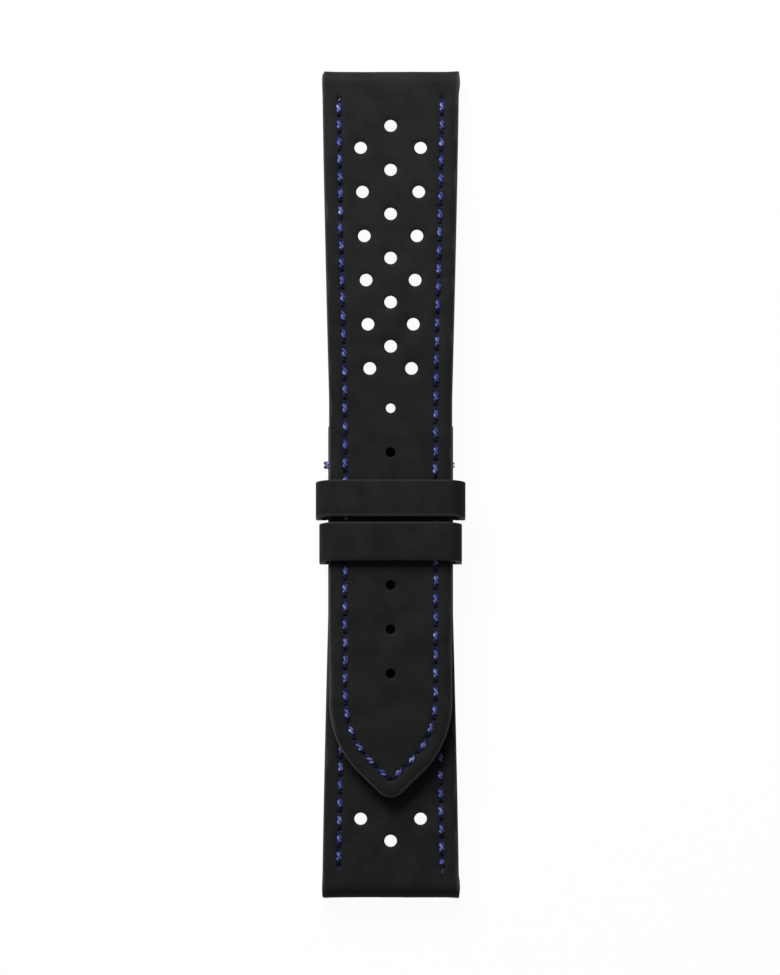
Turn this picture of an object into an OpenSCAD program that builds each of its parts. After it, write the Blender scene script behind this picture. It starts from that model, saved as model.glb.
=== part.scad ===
// Rubber rally watch strap in two pieces, held together by a fixed and a floating keeper.
// It lies as it is packed: the short piece below, the long piece on top of it, both in the keepers.
// X runs across the strap, +Y towards the long piece's lug end, +Z up from the surface it lies on.
// Each piece is drawn along its own s axis, which starts at its lug end.

/* [Lengths] */
// Long piece, from lug end to tip
long_len = 115; // [108:1:122]
// Short piece, from lug end to buckle end
short_len = 75; // [72:1:82]
// How far the two pieces overlap in the keepers
overlap = 59; // [55:1:62]

/* [Widths] */
// Both pieces at the lugs
lug_w = 21.7; // [21:0.1:22.5]
// By how much the long piece is narrower from the keepers to the tip
long_taper = 2.2; // [1.9:0.1:2.6]
// By how much the short piece is narrower at the keepers and the buckle
short_taper = 1.9; // [1.5:0.1:2.2]
// Distance from the lug end at which the long piece has narrowed
long_taper_len = 52; // [40:1:56]
// Distance from the lug end at which the short piece has narrowed
short_taper_len = 45; // [38:1:48]

/* [Tip] */
// Radius of the tip's curved sides
tip_side_r = 16; // [14:0.5:20]
// Angle that each side turns through before it runs straight to the point
tip_turn = 46; // [40:1:52]
// Rounding of the point
tip_round_r = 2.5; // [1.5:0.1:3]

/* [Layers] */
// Top skin
skin_t = 1.0; // [0.9:0.05:1.2]
// Reinforcing tape
tape_t = 0.4; // [0.3:0.05:0.5]
// Lining
lining_t = 0.8; // [0.75:0.05:1]
// Length of the skin's turned flap on the back of a lug end
lug_flap_len = 10.5; // [9:0.5:15]
// Thickness of the skived flap under the fixed keeper
buckle_flap_t = 0.4; // [0.3:0.05:0.5]

/* [Bores] */
// Spring-bar bore at the lugs
lug_bore_d = 2.0; // [1.8:0.1:2.2]
// Bar bore at the buckle
bar_bore_d = 1.8; // [1.6:0.1:2]
// Slot for the buckle's tongue
tongue_slot_w = 3.0; // [2.5:0.1:3.5]
// Length of the tongue slot from the buckle end
tongue_slot_len = 3.5; // [3.3:0.1:4.5]

/* [Perforations] */
// Rally perforations
perf_d = 2.0; // [1.6:0.1:2.4]
// Spacing of a column of perforations
perf_pitch = 7.0; // [6:0.1:7.5]
// Rows of perforations in the long piece
long_perf_rows = 6; // [3:1:6]
// First centre perforation of the long piece from its lug end
long_perf_start = 8.6; // [8:0.1:10]
// First centre perforation of the short piece from its lug end
short_perf_start = 9.0; // [8:0.1:10]
// Spacing across the first pair of side perforations
side_gap_first = 9.5; // [8.5:0.1:10.5]
// Spacing across the last pair of side perforations
side_gap_last = 6.6; // [6:0.1:8]

/* [Tongue holes] */
// Holes for the buckle's tongue
tongue_hole_d = 1.5; // [1.3:0.1:1.8]
// Number of tongue holes
tongue_holes = 7; // [5:1:7]
// Spacing of the tongue holes
tongue_pitch = 7.0; // [6:0.1:7]
// Last tongue hole from the tip
tongue_to_tip = 19.6; // [18:0.2:21]

/* [Stitching] */
// Seam from the edge
seam_inset = 2.6; // [2.2:0.1:3]
// Start of the seams from the lug ends
seam_start = 4.2; // [4:0.1:6]
// Length of one stitch
stitch = 2.85; // [2.4:0.05:3.2]
// Needle thread
needle_thread_d = 0.68; // [0.5:0.02:0.7]
// Bobbin thread
bobbin_thread_d = 0.52; // [0.4:0.02:0.54]
// Depth of the needle thread's channel
needle_channel = 0.6; // [0.55:0.05:0.7]
// Depth of the bobbin thread's channel
bobbin_channel = 0.5; // [0.4:0.05:0.55]
// Thread of the edge tacks
tack_thread_d = 0.5; // [0.4:0.02:0.5]

/* [Keepers] */
// Room on each side of the short piece in the fixed keeper
fixed_side_room = 0.85; // [0.4:0.05:1.1]
// Length of the fixed keeper along the strap
fixed_len = 5.7; // [5:0.1:7]
// Room on each side of the short piece in the floating keeper
floating_side_room = 0.3; // [0.25:0.05:0.8]
// Length of the floating keeper along the strap
floating_len = 6.0; // [5:0.1:7]
// Outer skin of a keeper
keeper_skin_t = 0.6; // [0.5:0.05:0.7]
// Lining of a keeper
keeper_lining_t = 0.5; // [0.4:0.05:0.6]
// Outer radius of a keeper's upper corners
keeper_corner_r = 2.4; // [2:0.1:3]
// Outer radius of a keeper's lower corners, tighter round the strap's edge
keeper_base_r = 1.9; // [1.6:0.1:1.9]
// Buckle end to the fixed keeper
fixed_from_end = 8.8; // [8:0.1:11]
// Gap between the two keepers
keeper_gap = 0.95; // [0.3:0.05:2]
// Distance that the floating keeper slides towards the lugs
floating_travel = 16; // [8:0.5:16]

/* [Clearances] */
// Between the short piece and the long piece
stack_gap = 0.55; // [0.5:0.05:0.8]
// Above the long piece, inside the keepers
keeper_top_gap = 0.4; // [0.35:0.05:0.8]
// Between a thread and each wall of its channel
channel_play = 0.1; // [0.06:0.02:0.16]

/* [Hidden] */

RUBBER = "#222424";
LINING = "#2c2e2e";
TAPE = "#3a3c3c";
CORE = "#343232";
THREAD = "#3f4bb0";

// The skin is this much thicker where it folds round a bar
fold_gain = 0.05;
// Angle at which the faces of a piece leave the round of a fold
fold_crease = 6;
// The round runs on inside the layers for this angle past its tangent
fold_bite = 10;

// The layers and the folds
strap_t = skin_t + tape_t + lining_t;
lug_r = lug_bore_d / 2;
lug_fold_r = lug_r + skin_t + fold_gain;
bar_r = bar_bore_d / 2;
loop_r = bar_r + skin_t + fold_gain;
keeper_t = keeper_skin_t + keeper_lining_t;

// The widths away from the lugs
long_narrow_w = lug_w - long_taper;
short_narrow_w = lug_w - short_taper;
fixed_w = short_narrow_w + 2 * (fixed_side_room + keeper_t);
floating_w = short_narrow_w + 2 * (floating_side_room + keeper_t);

// How far the skin hugs the buckle bar past the bottom of its fold
bar_hug = 15;
// Half the angle of the bore wall that the padding closes at a lug end
bore_close = 60;
// Thinnest edge to which the padding is skived
pad_edge = 0.1;
// Lift of the buckle flap off the surface
flap_lift = 0.1;
// The buckle flap stops this far inside the fixed keeper's outer edge
flap_tuck = 0.9;
// Clearance between the keeper and the shoulder at which the buckle flap thickens
shoulder_play = 0.1;
// Length over which the buckle flap thickens from its skived part
skive_len = 1.6;
// The tape and the lining stop this far short of the buckle bar's axis
bar_set_back = 0.35;
// The tape starts this far past the lug bore
tape_set_back = 0.3;

// Heights of the flat stretches, from the surface up, the lowest one in whole hundredths
short_base_z = ceil(100 * max(
    loop_r * (1 + cos(fold_crease)) - strap_t,
    flap_lift + buckle_flap_t + keeper_t)) / 100;
short_top_z = short_base_z + strap_t;
long_base_z = short_top_z + stack_gap;
long_top_z = long_base_z + strap_t;
keeper_top_z = long_top_z + keeper_top_gap + keeper_t;

// The pieces stay level this far beyond where a keeper can reach
level_margin = 1;
// The short piece's seams stop this far before the fixed keeper
seam_stop = 1.6;
// Edge tacks from the fixed keeper
tack_from_keeper = 2.4;

// Places along the short piece
fixed_s1 = short_len - fixed_from_end;
fixed_s0 = fixed_s1 - fixed_len;
floating_s1 = fixed_s0 - keeper_gap;
floating_s0 = floating_s1 - floating_len;
short_flat_s = floating_s0 - floating_travel - level_margin;
bar_s = short_len - loop_r;
bar_z = short_top_z - loop_r * cos(fold_crease);
short_seam_end = fixed_s0 - seam_stop;
tack_s = fixed_s1 + tack_from_keeper;

// Places along the long piece, which can be pushed further into the keepers
inward_travel = 7;
long_flat_s = long_len - overlap - inward_travel - level_margin;
total_len = long_len + short_len - overlap;

// Small overshoot of a cutting tool
over = 1;
// Share of a taper at which the width falls off, a little fuller than a straight line
taper_power = 1.25;

// Half the width of a piece that narrows from the lugs over a length
function half_width(s, narrow, taper) =
    narrow / 2 + (lug_w - narrow) / 2 * (1 - pow(min(1, max(0, s / taper)), taper_power));

// Rise of a springy strap that rests on its end and is held level at the other, from 0 to 1
function lean(t) = let (u = max(0, min(1, t))) 1.5 * u - 0.5 * pow(u, 3);

// Slope with which such a rise starts
function lean_slope(rise, span) = atan(1.5 * rise / span);

// Height of a piece's underside and top face, which leave the lug fold at a slight crease
lug_line_r = lug_fold_r * cos(fold_crease);
function lug_low(rise, span) = lug_fold_r - lug_line_r / cos(lean_slope(rise, span));
function lug_high(rise, span) = lug_fold_r + lug_line_r / cos(lean_slope(rise, span));
function face_z(s, start_z, flat_z, flat_s) =
    start_z + (flat_z - start_z) * lean((s - lug_fold_r) / (flat_s - lug_fold_r));

function base_z(s, piece) = face_z(s, lug_low(piece[0], piece[2] - lug_fold_r), piece[0], piece[2]);
function top_z(s, piece) =
    face_z(s, lug_high(piece[1] - 2 * lug_fold_r, piece[2] - lug_fold_r), piece[1], piece[2]);

// A piece's flat underside, flat top and the place where its flat stretch starts
LONG = [long_base_z, long_top_z, long_flat_s];
SHORT = [short_base_z, short_top_z, short_flat_s];

// Thickness of the layer next to the surface: the skived flap, then the lining
function back_t(s) = s < lug_flap_len
    ? skin_t + (lining_t - skin_t) * max(0, s - lug_fold_r) / (lug_flap_len - lug_fold_r)
    : lining_t;

// Stations along a profile, closer together on its curved stretch
curve_steps = 12;
function stations(from, to, flat_s) = concat(
    [from],
    [for (i = [0 : curve_steps])
        let (s = lug_fold_r + (flat_s - lug_fold_r) * i / curve_steps)
        if (s > from + 0.3 && s < to - 0.3) s],
    [to]);

function backwards(list) = [for (i = [len(list) - 1 : -1 : 0]) list[i]];

// Places a piece that is drawn along its own s axis
module in_long() { translate([0, total_len / 2, 0]) mirror([0, 1, 0]) children(); }
module in_short() { translate([0, -total_len / 2, 0]) children(); }

// Extrudes a profile of s and z across the strap
module across(width) {
    rotate([90, 0, 90]) linear_extrude(width, center = true) children();
}

// Extrudes a plan of x and s through the whole height
module upright() {
    translate([0, 0, -over]) linear_extrude(keeper_top_z + 2 * over) children();
}

// Profile between two lists of points that both run from the lug end
module strip(low, high) { polygon(concat(low, backwards(high))); }

// Extrudes a profile through more than the strap's width, to be trimmed by its plan
module skin_across() { across(lug_w + 2 * over) children(); }

// Part of a ring between two angles, counted from the s axis, across the strap
module ring_across(centre, inner, outer, from, to) {
    translate([-lug_w / 2 - over, centre[0], centre[1]]) rotate([90, 0, 90]) rotate([0, 0, from])
        rotate_extrude(angle = to - from, $fn = 96)
            translate([inner, 0]) square([outer - inner, lug_w + 2 * over]);
}

// Plans

arc_steps = 8;
point_steps = 4;
side_steps = 8;
point_s = long_len - tip_round_r;
side_arc_s = point_s
    + (tip_round_r - tip_side_r - (long_narrow_w / 2 - tip_side_r) * cos(tip_turn)) / sin(tip_turn);

function taper_side(inset, narrow, taper, end) = concat(
    [[half_width(0, narrow, taper) - inset, -over]],
    [for (i = [0 : side_steps])
        let (s = taper * i / side_steps) [half_width(s, narrow, taper) - inset, s]],
    end > taper ? [[narrow / 2 - inset, end]] : []);

// One side of the long piece's outline, drawn in by an inset, from the lugs to the point
function long_side(inset) = concat(
    taper_side(inset, long_narrow_w, long_taper_len, 0),
    [for (i = [0 : arc_steps])
        let (a = tip_turn * i / arc_steps, r = tip_side_r - inset)
        [long_narrow_w / 2 - tip_side_r + r * cos(a), side_arc_s + r * sin(a)]],
    inset < tip_round_r
        ? [for (i = [0 : point_steps])
            let (a = tip_turn + (90 - tip_turn) * i / point_steps, r = tip_round_r - inset)
            [r * cos(a), point_s + r * sin(a)]]
        : [[0, point_s + (tip_round_r - inset) / sin(tip_turn)]]);

function short_side(inset) = taper_side(inset, short_narrow_w, short_taper_len, short_len + over);

function both_sides(side) = concat(side, [for (p = backwards(side)) if (p[0] > 0.001) [-p[0], p[1]]]);

module long_plan(inset = 0) { polygon(both_sides(long_side(inset))); }
module short_plan(inset = 0) { polygon(both_sides(short_side(inset))); }

module beyond(s) { translate([-lug_w, s]) square([2 * lug_w, 2 * long_len]); }

module long_channel_plan(width) {
    intersection() {
        difference() {
            long_plan(seam_inset - width / 2);
            long_plan(seam_inset + width / 2);
        }
        beyond(seam_start - channel_play);
    }
}

module short_channel_plan(width) {
    intersection() {
        difference() {
            short_plan(seam_inset - width / 2);
            short_plan(seam_inset + width / 2);
        }
        translate([-lug_w, seam_start - channel_play])
            square([2 * lug_w, short_seam_end - seam_start + 2 * channel_play]);
    }
}

// Holes

function side_half_gap(row) =
    (side_gap_first + (side_gap_last - side_gap_first) * row / (long_perf_rows - 1)) / 2;

module hole(x, s, d) { translate([x, s, -over]) cylinder(d = d, h = keeper_top_z + 2 * over, $fn = 48); }

// A centre perforation, and a pair half a pitch further on
module perforation_row(s, half_gap) {
    hole(0, s, perf_d);
    for (side = [-1, 1]) hole(side * half_gap, s + perf_pitch / 2, perf_d);
}

module long_holes() {
    for (row = [0 : long_perf_rows - 1])
        perforation_row(long_perf_start + row * perf_pitch, side_half_gap(row));
    for (i = [0 : tongue_holes - 1])
        hole(0, long_len - tongue_to_tip - i * tongue_pitch, tongue_hole_d);
}

module short_holes() { perforation_row(short_perf_start, side_half_gap(0)); }

// Slot that lets the buckle's tongue turn on its bar
module tongue_slot() {
    slot_s = short_len - tongue_slot_len + tongue_slot_w / 2;
    upright() union() {
        translate([0, slot_s]) circle(d = tongue_slot_w, $fn = 48);
        translate([-tongue_slot_w / 2, slot_s]) square([tongue_slot_w, tongue_slot_len]);
    }
}

module lug_bore() {
    translate([0, lug_fold_r, lug_fold_r]) rotate([0, 90, 0])
        cylinder(r = lug_r, h = lug_w + 2 * over, center = true, $fn = 64);
}

module bar_bore() {
    translate([0, bar_s, bar_z]) rotate([0, 90, 0])
        cylinder(r = bar_r, h = lug_w + 2 * over, center = true, $fn = 64);
}

// Profiles

function base_line(list, piece, lift = 0) = [for (s = list) [s, base_z(s, piece) + lift]];
function back_line(list, piece, lift = 0) = [for (s = list) [s, base_z(s, piece) + back_t(s) + lift]];
function top_line(list, piece, drop = 0) = [for (s = list) [s, top_z(s, piece) - drop]];

// Where the padding and the tape start
pad_start = lug_fold_r + lug_r * cos(bore_close);
tape_start = lug_fold_r + lug_r + tape_set_back;

// Point of a fold's ring, given its centre, a radius and an angle
function ring_point(centre, r, a) = centre + r * [cos(a), sin(a)];

// Start of a strip inside a fold, at its inner face and at its outer one
function fold_start(slope, a) = [for (r = [lug_line_r - skin_t * cos(slope), lug_line_r])
    ring_point([lug_fold_r, lug_fold_r], r, a)];

// Stations from a lug fold to an end, which the skin shares with the layers inside it
function from_fold(end, piece) = concat([pad_start], stations(tape_start, end, piece[2]));

function low_slope(piece) = lean_slope(piece[0], piece[2] - lug_fold_r);
function high_slope(piece) = lean_slope(piece[1] - 2 * lug_fold_r, piece[2] - lug_fold_r);

// The skin's fold at the lugs, with the flap that it leaves on the back
module lug_fold(piece) {
    low_a = 270 + low_slope(piece);
    high_a = 90 + high_slope(piece);
    flap = from_fold(lug_flap_len, piece);
    ring_across([lug_fold_r, lug_fold_r], lug_r, lug_fold_r, high_a - fold_bite, low_a + fold_bite);
    skin_across() polygon(concat(
        fold_start(low_slope(piece), low_a),
        base_line(flap, piece),
        backwards(back_line(flap, piece))));
}

// The skin over the top of a piece, from the lug fold to an end
module skin_sheet(piece, end) {
    top = from_fold(end, piece);
    skin_across() polygon(concat(
        backwards(fold_start(high_slope(piece), 90 + high_slope(piece))),
        top_line(top, piece, skin_t),
        backwards(top_line(top, piece))));
}

// The skin's fold round the buckle bar and its skived flap under the fixed keeper
module buckle_fold() {
    flap_z = short_base_z - keeper_t;
    thick_z = bar_z - bar_r - fold_gain;
    ring_across([bar_s, bar_z], bar_r, loop_r, -90 - bar_hug, 90 + fold_bite);
    skin_across() polygon([
        [bar_s, flap_z - buckle_flap_t],
        [fixed_s0 + flap_tuck, flap_z - buckle_flap_t],
        [fixed_s0 + flap_tuck, flap_z],
        [fixed_s1 + shoulder_play, flap_z],
        [fixed_s1 + skive_len, thick_z],
        [bar_s, thick_z],
    ]);
}

// The wedge between skin and tape, skived where the piece has come down to the thickness of its layers
module padding_profile(piece) {
    full = 2 * lug_fold_r - strap_t;
    end = piece[2] - (piece[2] - lug_fold_r) * sqrt(2 * pad_edge / (3 * full));
    low = stations(tape_start, end, piece[2]);
    strip(
        concat(back_line([pad_start, tape_start], piece), back_line(low, piece, tape_t)),
        top_line(from_fold(end, piece), piece, skin_t));
}

module tape_profile(piece, end) {
    list = concat(
        stations(tape_start, lug_flap_len, piece[2]),
        stations(lug_flap_len, end, piece[2]));
    strip(back_line(list, piece), back_line(list, piece, tape_t));
}

module lining_profile(piece, end) {
    list = stations(lug_flap_len, end, piece[2]);
    strip(base_line(list, piece), base_line(list, piece, lining_t));
}

module top_channel_profile(piece, end) {
    list = stations(seam_start - over, end, piece[2]);
    strip(top_line(list, piece, needle_channel), top_line(list, piece, -over));
}

module back_channel_profile(piece, end) {
    list = stations(seam_start - over, end, piece[2]);
    strip(base_line(list, piece, -over), base_line(list, piece, bobbin_channel));
}

// Stitches

needle_width = needle_thread_d + 2 * channel_play;
bobbin_width = bobbin_thread_d + 2 * channel_play;
needle_rise = 0.28;
bobbin_rise = 0.14;
// Share of the distance between two needle holes that shows as thread
stitch_share = 0.84;
// The rows stop this far short of the tip's corner, where both sides share one needle hole
corner_play = 0.2;

// Distance along the long seam to the start of the tip's curve, to its end and to the point
seam_arc_r = tip_side_r - seam_inset;
seam_to_arc = side_arc_s - seam_start;
seam_to_line = seam_to_arc + seam_arc_r * tip_turn * PI / 180;
seam_point_s = point_s + (tip_round_r - seam_inset) / sin(tip_turn);
seam_line_start = [
    long_narrow_w / 2 - tip_side_r + seam_arc_r * cos(tip_turn),
    side_arc_s + seam_arc_r * sin(tip_turn),
];
seam_line_len = norm([0, seam_point_s] - seam_line_start);
seam_to_point = seam_to_line + seam_line_len - corner_play;

// Place in plan on the long seam at a distance from its start
function long_seam(u) =
    u <= seam_to_arc
        ? [half_width(seam_start + u, long_narrow_w, long_taper_len) - seam_inset, seam_start + u]
    : u <= seam_to_line
        ? let (a = (u - seam_to_arc) / seam_arc_r * 180 / PI)
            [long_narrow_w / 2 - tip_side_r + seam_arc_r * cos(a), side_arc_s + seam_arc_r * sin(a)]
    : let (k = (u - seam_to_line) / seam_line_len)
        seam_line_start * (1 - k) + [0, seam_point_s] * k;

function short_seam(u) =
    [half_width(seam_start + u, short_narrow_w, short_taper_len) - seam_inset, seam_start + u];

// One stitch between two needle holes: an arc whose ends dive to the channel's floor
module stitch_arc(a, b, rise, d) {
    step = b - a;
    chord = stitch_share * norm(step);
    r = (chord * chord / 4 + rise * rise) / (2 * abs(rise));
    half = asin(chord / 2 / r);
    heading = atan2(step[1], step[0]);
    climb = asin(step[2] / norm(step));
    translate((a + b) / 2) rotate([0, -climb, heading]) mirror([0, 0, rise < 0 ? 1 : 0])
        translate([0, 0, d / 2 * cos(half) + abs(rise) - r])
            rotate([90, 0, 0]) rotate([0, 0, 90 - half])
                rotate_extrude(angle = 2 * half, $fn = 48) translate([r, 0]) circle(d = d, $fn = 24);
}

// A row of stitches on one side of a piece, through needle holes that follow the seam
module thread_row(points, side, rise, d) {
    for (i = [0 : len(points) - 2]) {
        a = points[i];
        b = points[i + 1];
        stitch_arc([side * a[0], a[1], a[2]], [side * b[0], b[1], b[2]], rise, d);
    }
}

long_stitches = round(seam_to_point / stitch);
short_stitches = round((short_seam_end - seam_start) / stitch);

function needle_points(plan, piece) = [for (p = plan)
    [p[0], p[1], top_z(p[1], piece) - needle_channel]];
function bobbin_points(plan, piece) = [for (p = plan)
    [p[0], p[1], base_z(p[1], piece) + bobbin_channel]];
long_seam_plan = [for (i = [0 : long_stitches]) long_seam(seam_to_point * i / long_stitches)];
short_seam_plan = [for (i = [0 : short_stitches])
    short_seam((short_seam_end - seam_start) * i / short_stitches)];

// Sub-parts of the long piece

module long_top_skin() {
    color(RUBBER) in_long() difference() {
        intersection() {
            union() {
                lug_fold(LONG);
                skin_sheet(LONG, long_len + over);
            }
            upright() long_plan();
        }
        intersection() {
            across(lug_w) top_channel_profile(LONG, long_len);
            upright() long_channel_plan(needle_width);
        }
        intersection() {
            across(lug_w) back_channel_profile(LONG, lug_flap_len + over);
            upright() long_channel_plan(bobbin_width);
        }
        long_holes();
    }
}

module long_padding() {
    color(CORE) in_long() difference() {
        intersection() {
            across(lug_w + 2 * over) padding_profile(LONG);
            upright() long_plan();
        }
        lug_bore();
        long_holes();
    }
}

module long_reinforcement() {
    color(TAPE) in_long() difference() {
        intersection() {
            across(lug_w + 2 * over) tape_profile(LONG, long_len + over);
            upright() long_plan();
        }
        long_holes();
    }
}

module long_lining() {
    color(LINING) in_long() difference() {
        intersection() {
            across(lug_w + 2 * over) lining_profile(LONG, long_len + over);
            upright() long_plan();
        }
        intersection() {
            across(lug_w) back_channel_profile(LONG, long_len);
            upright() long_channel_plan(bobbin_width);
        }
        long_holes();
    }
}

module long_needle_thread() {
    points = needle_points(long_seam_plan, LONG);
    color(THREAD) in_long()
        for (side = [-1, 1]) thread_row(points, side, needle_rise, needle_thread_d);
}

module long_bobbin_thread() {
    points = bobbin_points(long_seam_plan, LONG);
    color(THREAD) in_long()
        for (side = [-1, 1]) thread_row(points, side, -bobbin_rise, bobbin_thread_d);
}

// Sub-parts of the short piece

module short_top_skin() {
    color(RUBBER) in_short() difference() {
        intersection() {
            union() {
                lug_fold(SHORT);
                skin_sheet(SHORT, bar_s);
                buckle_fold();
            }
            upright() short_plan();
        }
        intersection() {
            across(lug_w) top_channel_profile(SHORT, short_seam_end + over);
            upright() short_channel_plan(needle_width);
        }
        intersection() {
            across(lug_w) back_channel_profile(SHORT, lug_flap_len + over);
            upright() short_channel_plan(bobbin_width);
        }
        short_holes();
        tongue_slot();
        for (side = [-1, 1]) tack_channel(side);
    }
}

module short_padding() {
    color(CORE) in_short() difference() {
        intersection() {
            across(lug_w + 2 * over) padding_profile(SHORT);
            upright() short_plan();
        }
        lug_bore();
        short_holes();
    }
}

module short_reinforcement() {
    color(TAPE) in_short() difference() {
        intersection() {
            across(lug_w + 2 * over) tape_profile(SHORT, bar_s - bar_set_back);
            upright() short_plan();
        }
        bar_bore();
        short_holes();
        tongue_slot();
    }
}

module short_lining() {
    color(LINING) in_short() difference() {
        intersection() {
            across(lug_w + 2 * over) lining_profile(SHORT, bar_s - bar_set_back);
            upright() short_plan();
        }
        intersection() {
            across(lug_w) back_channel_profile(SHORT, short_seam_end + over);
            upright() short_channel_plan(bobbin_width);
        }
        bar_bore();
        short_holes();
        tongue_slot();
    }
}

module short_needle_thread() {
    points = needle_points(short_seam_plan, SHORT);
    color(THREAD) in_short()
        for (side = [-1, 1]) thread_row(points, side, needle_rise, needle_thread_d);
}

module short_bobbin_thread() {
    points = bobbin_points(short_seam_plan, SHORT);
    color(THREAD) in_short()
        for (side = [-1, 1]) thread_row(points, side, -bobbin_rise, bobbin_thread_d);
}

// Edge tacks

tack_depth = 0.3;
tack_reach = 2.0;
tack_turns = 2;
tack_bend_r = 0.45;
// Spacing of the turns as a share of the thread, which presses them into one another
tack_pack = 0.98;

module tack_channel(side) {
    width = tack_turns * tack_thread_d + 2 * channel_play;
    translate([side * (short_narrow_w / 2 - tack_reach / 2 + over / 2), tack_s, short_top_z])
        cube([tack_reach + over, width, 2 * tack_depth], center = true);
}

// One turn of thread that wraps the strap's edge, drawn for the right-hand side
module tack_turn() {
    r = tack_thread_d / 2;
    edge_x = short_narrow_w / 2 + r;
    high_z = short_top_z - tack_depth + r;
    low_z = short_base_z - r;
    run_x = edge_x - tack_bend_r;
    run_len = run_x - (short_narrow_w / 2 - tack_reach + channel_play);
    for (z = [high_z, low_z])
        translate([run_x - run_len, 0, z]) rotate([0, 90, 0]) cylinder(r = r, h = run_len, $fn = 48);
    translate([run_x, 0, high_z - tack_bend_r]) tack_bend(0);
    translate([run_x, 0, low_z + tack_bend_r]) tack_bend(-90);
    translate([edge_x, 0, low_z + tack_bend_r])
        cylinder(r = r, h = high_z - low_z - 2 * tack_bend_r, $fn = 48);
}

module tack_bend(turn) {
    rotate([90, 0, 0]) rotate([0, 0, turn])
        rotate_extrude(angle = 90, $fn = 96) translate([tack_bend_r, 0])
            circle(d = tack_thread_d, $fn = 48);
}

module keeper_tack_thread() {
    color(THREAD) in_short() for (side = [0, 1]) mirror([side, 0, 0])
        for (i = [0 : tack_turns - 1])
            translate([0, tack_s + (i - (tack_turns - 1) / 2) * tack_thread_d * tack_pack, 0]) tack_turn();
}

// Keepers

// Closed band of rounded section, from a low to a high height, along the strap from s0 to s1
module band(width, z0, z1, top_r, base_r, t, s0, s1, joint_gap = 0) {
    length = s1 - s0;
    translate([0, s1, 0]) rotate([90, 0, 0]) {
        for (corner = [
            [width / 2 - top_r, z1 - top_r, top_r, 0],
            [top_r - width / 2, z1 - top_r, top_r, 90],
            [base_r - width / 2, z0 + base_r, base_r, 180],
            [width / 2 - base_r, z0 + base_r, base_r, 270],
        ])
            translate([corner[0], corner[1], 0]) rotate([0, 0, corner[3]])
                rotate_extrude(angle = 90, $fn = 64)
                    translate([corner[2] - t, 0]) square([t, length]);
        for (side = [-1, 1])
            translate([side * (width - t) / 2 - t / 2, z0 + base_r, 0])
                cube([t, z1 - z0 - top_r - base_r, length]);
        translate([0, z1 - t / 2, length / 2]) cube([width - 2 * top_r, t, length], center = true);
        difference() {
            translate([0, z0 + t / 2, length / 2])
                cube([width - 2 * base_r, t, length], center = true);
            if (joint_gap > 0)
                translate([0, z0 + t / 2, length / 2])
                    cube([joint_gap, t + 2 * over, length + 2 * over], center = true);
        }
    }
}

joint_gap = 0.3;

module keeper_skin(width, z0, s0, s1) {
    band(width, z0, keeper_top_z, keeper_corner_r, keeper_base_r, keeper_skin_t, s0, s1, joint_gap);
}

module keeper_lining(width, z0, s0, s1) {
    band(width - 2 * keeper_skin_t, z0 + keeper_skin_t, keeper_top_z - keeper_skin_t,
        keeper_corner_r - keeper_skin_t, keeper_base_r - keeper_skin_t, keeper_lining_t, s0, s1);
}

module fixed_keeper_skin() {
    color(RUBBER) in_short() keeper_skin(fixed_w, short_base_z - keeper_t, fixed_s0, fixed_s1);
}

module fixed_keeper_lining() {
    color(LINING) in_short() keeper_lining(fixed_w, short_base_z - keeper_t, fixed_s0, fixed_s1);
}

module floating_keeper_skin() {
    color(RUBBER) in_short() keeper_skin(floating_w, 0, floating_s0, floating_s1);
}

module floating_keeper_lining() {
    color(LINING) in_short() keeper_lining(floating_w, 0, floating_s0, floating_s1);
}

long_top_skin();
long_padding();
long_reinforcement();
long_lining();
long_needle_thread();
long_bobbin_thread();
short_top_skin();
short_padding();
short_reinforcement();
short_lining();
short_needle_thread();
short_bobbin_thread();
keeper_tack_thread();
fixed_keeper_skin();
fixed_keeper_lining();
floating_keeper_skin();
floating_keeper_lining();
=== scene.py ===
import math
import random

import bmesh
import bpy
import numpy as np
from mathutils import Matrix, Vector, noise


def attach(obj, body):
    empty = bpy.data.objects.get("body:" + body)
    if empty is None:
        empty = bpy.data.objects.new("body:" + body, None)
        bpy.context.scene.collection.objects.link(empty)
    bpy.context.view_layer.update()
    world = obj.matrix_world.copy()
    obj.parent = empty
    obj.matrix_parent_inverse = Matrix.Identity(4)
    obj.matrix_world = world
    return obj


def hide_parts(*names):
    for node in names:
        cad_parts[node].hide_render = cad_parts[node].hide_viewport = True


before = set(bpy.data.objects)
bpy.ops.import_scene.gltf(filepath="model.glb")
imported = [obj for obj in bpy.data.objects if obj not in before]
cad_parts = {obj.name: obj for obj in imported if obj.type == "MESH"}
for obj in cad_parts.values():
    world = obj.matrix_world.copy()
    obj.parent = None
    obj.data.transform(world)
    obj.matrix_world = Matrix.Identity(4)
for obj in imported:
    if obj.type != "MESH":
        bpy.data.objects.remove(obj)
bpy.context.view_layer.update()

# Sizes of the strap in millimetres, as its source has them

LONG_LEN, TOTAL_LEN = 115.0, 131.0
LUG_W = 21.7
FOLD_R = 2.05                # outside of the fold at the lugs
LINE_R = FOLD_R * math.cos(math.radians(6))     # where the straight faces meet the fold
FLAP_LEN = 10.5              # the skin's flap behind a lug fold
SKIN_T, TAPE_T, LINING_T = 1.0, 0.4, 0.8
SEAM_INSET, STITCH = 2.6, 2.85
PERF_R, TONGUE_R = 1.0, 0.75
TIP_SIDE_R, TIP_ROUND_R, TIP_TURN = 16.0, 2.5, math.radians(46)
BAR_S, BAR_Z, LOOP_R = 73.05, 1.951, 1.95       # the buckle's bar and the skin's fold round it
LIFT, LIFT_RUN = 0.19, 3.0   # how the skin's flap behind the buckle's bar rises off the ground
SKIVE_S, SKIVE_RUN, SKIVED_T = 67.8, 1.6, 0.4   # and where it thins, and to what
FLAP_END_S = 61.0
BACK_END_S = BAR_S - 0.35    # where the short piece's lining and tape end
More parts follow.
